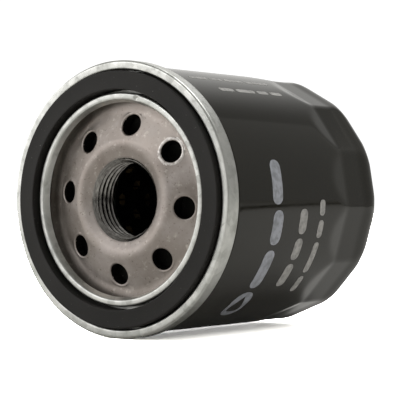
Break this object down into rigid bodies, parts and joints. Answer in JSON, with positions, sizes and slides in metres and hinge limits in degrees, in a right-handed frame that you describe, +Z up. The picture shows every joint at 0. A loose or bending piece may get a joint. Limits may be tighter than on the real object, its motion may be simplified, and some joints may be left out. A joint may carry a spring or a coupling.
{
  "type": "spin-on oil filter",
  "caption": "Spin-on engine oil filter: steel can with wrench flats, seamed tapping plate, rubber gasket, pleated element, drain-back valve and sprung bypass valve.",
  "frame": {"origin": "centre of the gasket's sealing face, on the thread's axis", "axes": "+Y along the filter's axis into the can towards its closed end, -Y towards the engine, +Z up as the filter lies on its side"},
  "size_m": [0.068, 0.0734, 0.068],
  "materials": {
    "black_gloss_enamel": "gloss",
    "galvanised_sheet": "satin",
    "nitrile_rubber": "matte",
    "pickled_steel_plate": "satin",
    "weld_metal": "matte",
    "tinplate": "satin",
    "plastisol": "satin",
    "filter_paper": "matte",
    "turned_steel": "satin",
    "oiled_steel": "satin",
    "spring_steel": "satin",
    "screen_print_ink": "matte"
  },
  "bodies": {
    "housing": {"canister": "black_gloss_enamel", "seaming_lid": "galvanised_sheet", "sealing_gasket": "nitrile_rubber", "base_plate": "pickled_steel_plate", "spot_welds": "weld_metal", "drainback_valve_neck": "nitrile_rubber", "element_spring": "spring_steel"},
    "drainback_lip": {"drainback_valve_lip": "nitrile_rubber"},
    "element": {"lower_end_cap": "tinplate", "lower_cap_adhesive": "plastisol", "centre_tube": "oiled_steel", "filter_media": "filter_paper", "media_seam_clip": "tinplate", "upper_cap_adhesive": "plastisol", "upper_end_cap": "tinplate", "bypass_cage": "tinplate", "bypass_valve_seat": "tinplate", "bypass_spring": "spring_steel"},
    "bypass_valve": {"bypass_poppet": "turned_steel", "bypass_seal": "nitrile_rubber"}
  },
  "joints": [
    {"name": "drainback_lift", "type": "slide", "parent": "housing", "child": "drainback_lip", "axis": [0, 1, 0], "range_m": [0, 0.0015], "stiffness_N_per_m": 40, "springref_m": -0.0005},
    {"name": "element_float", "type": "slide", "parent": "housing", "child": "element", "axis": [0, 1, 0], "range_m": [0, 0.001], "stiffness_N_per_m": 5000, "springref_m": -0.006, "deforming": ["element_spring"]},
    {"name": "bypass_lift", "type": "slide", "parent": "element", "child": "bypass_valve", "axis": [0, -1, 0], "range_m": [0, 0.004], "stiffness_N_per_m": 800, "springref_m": -0.012, "deforming": ["bypass_spring"]}
  ]
}
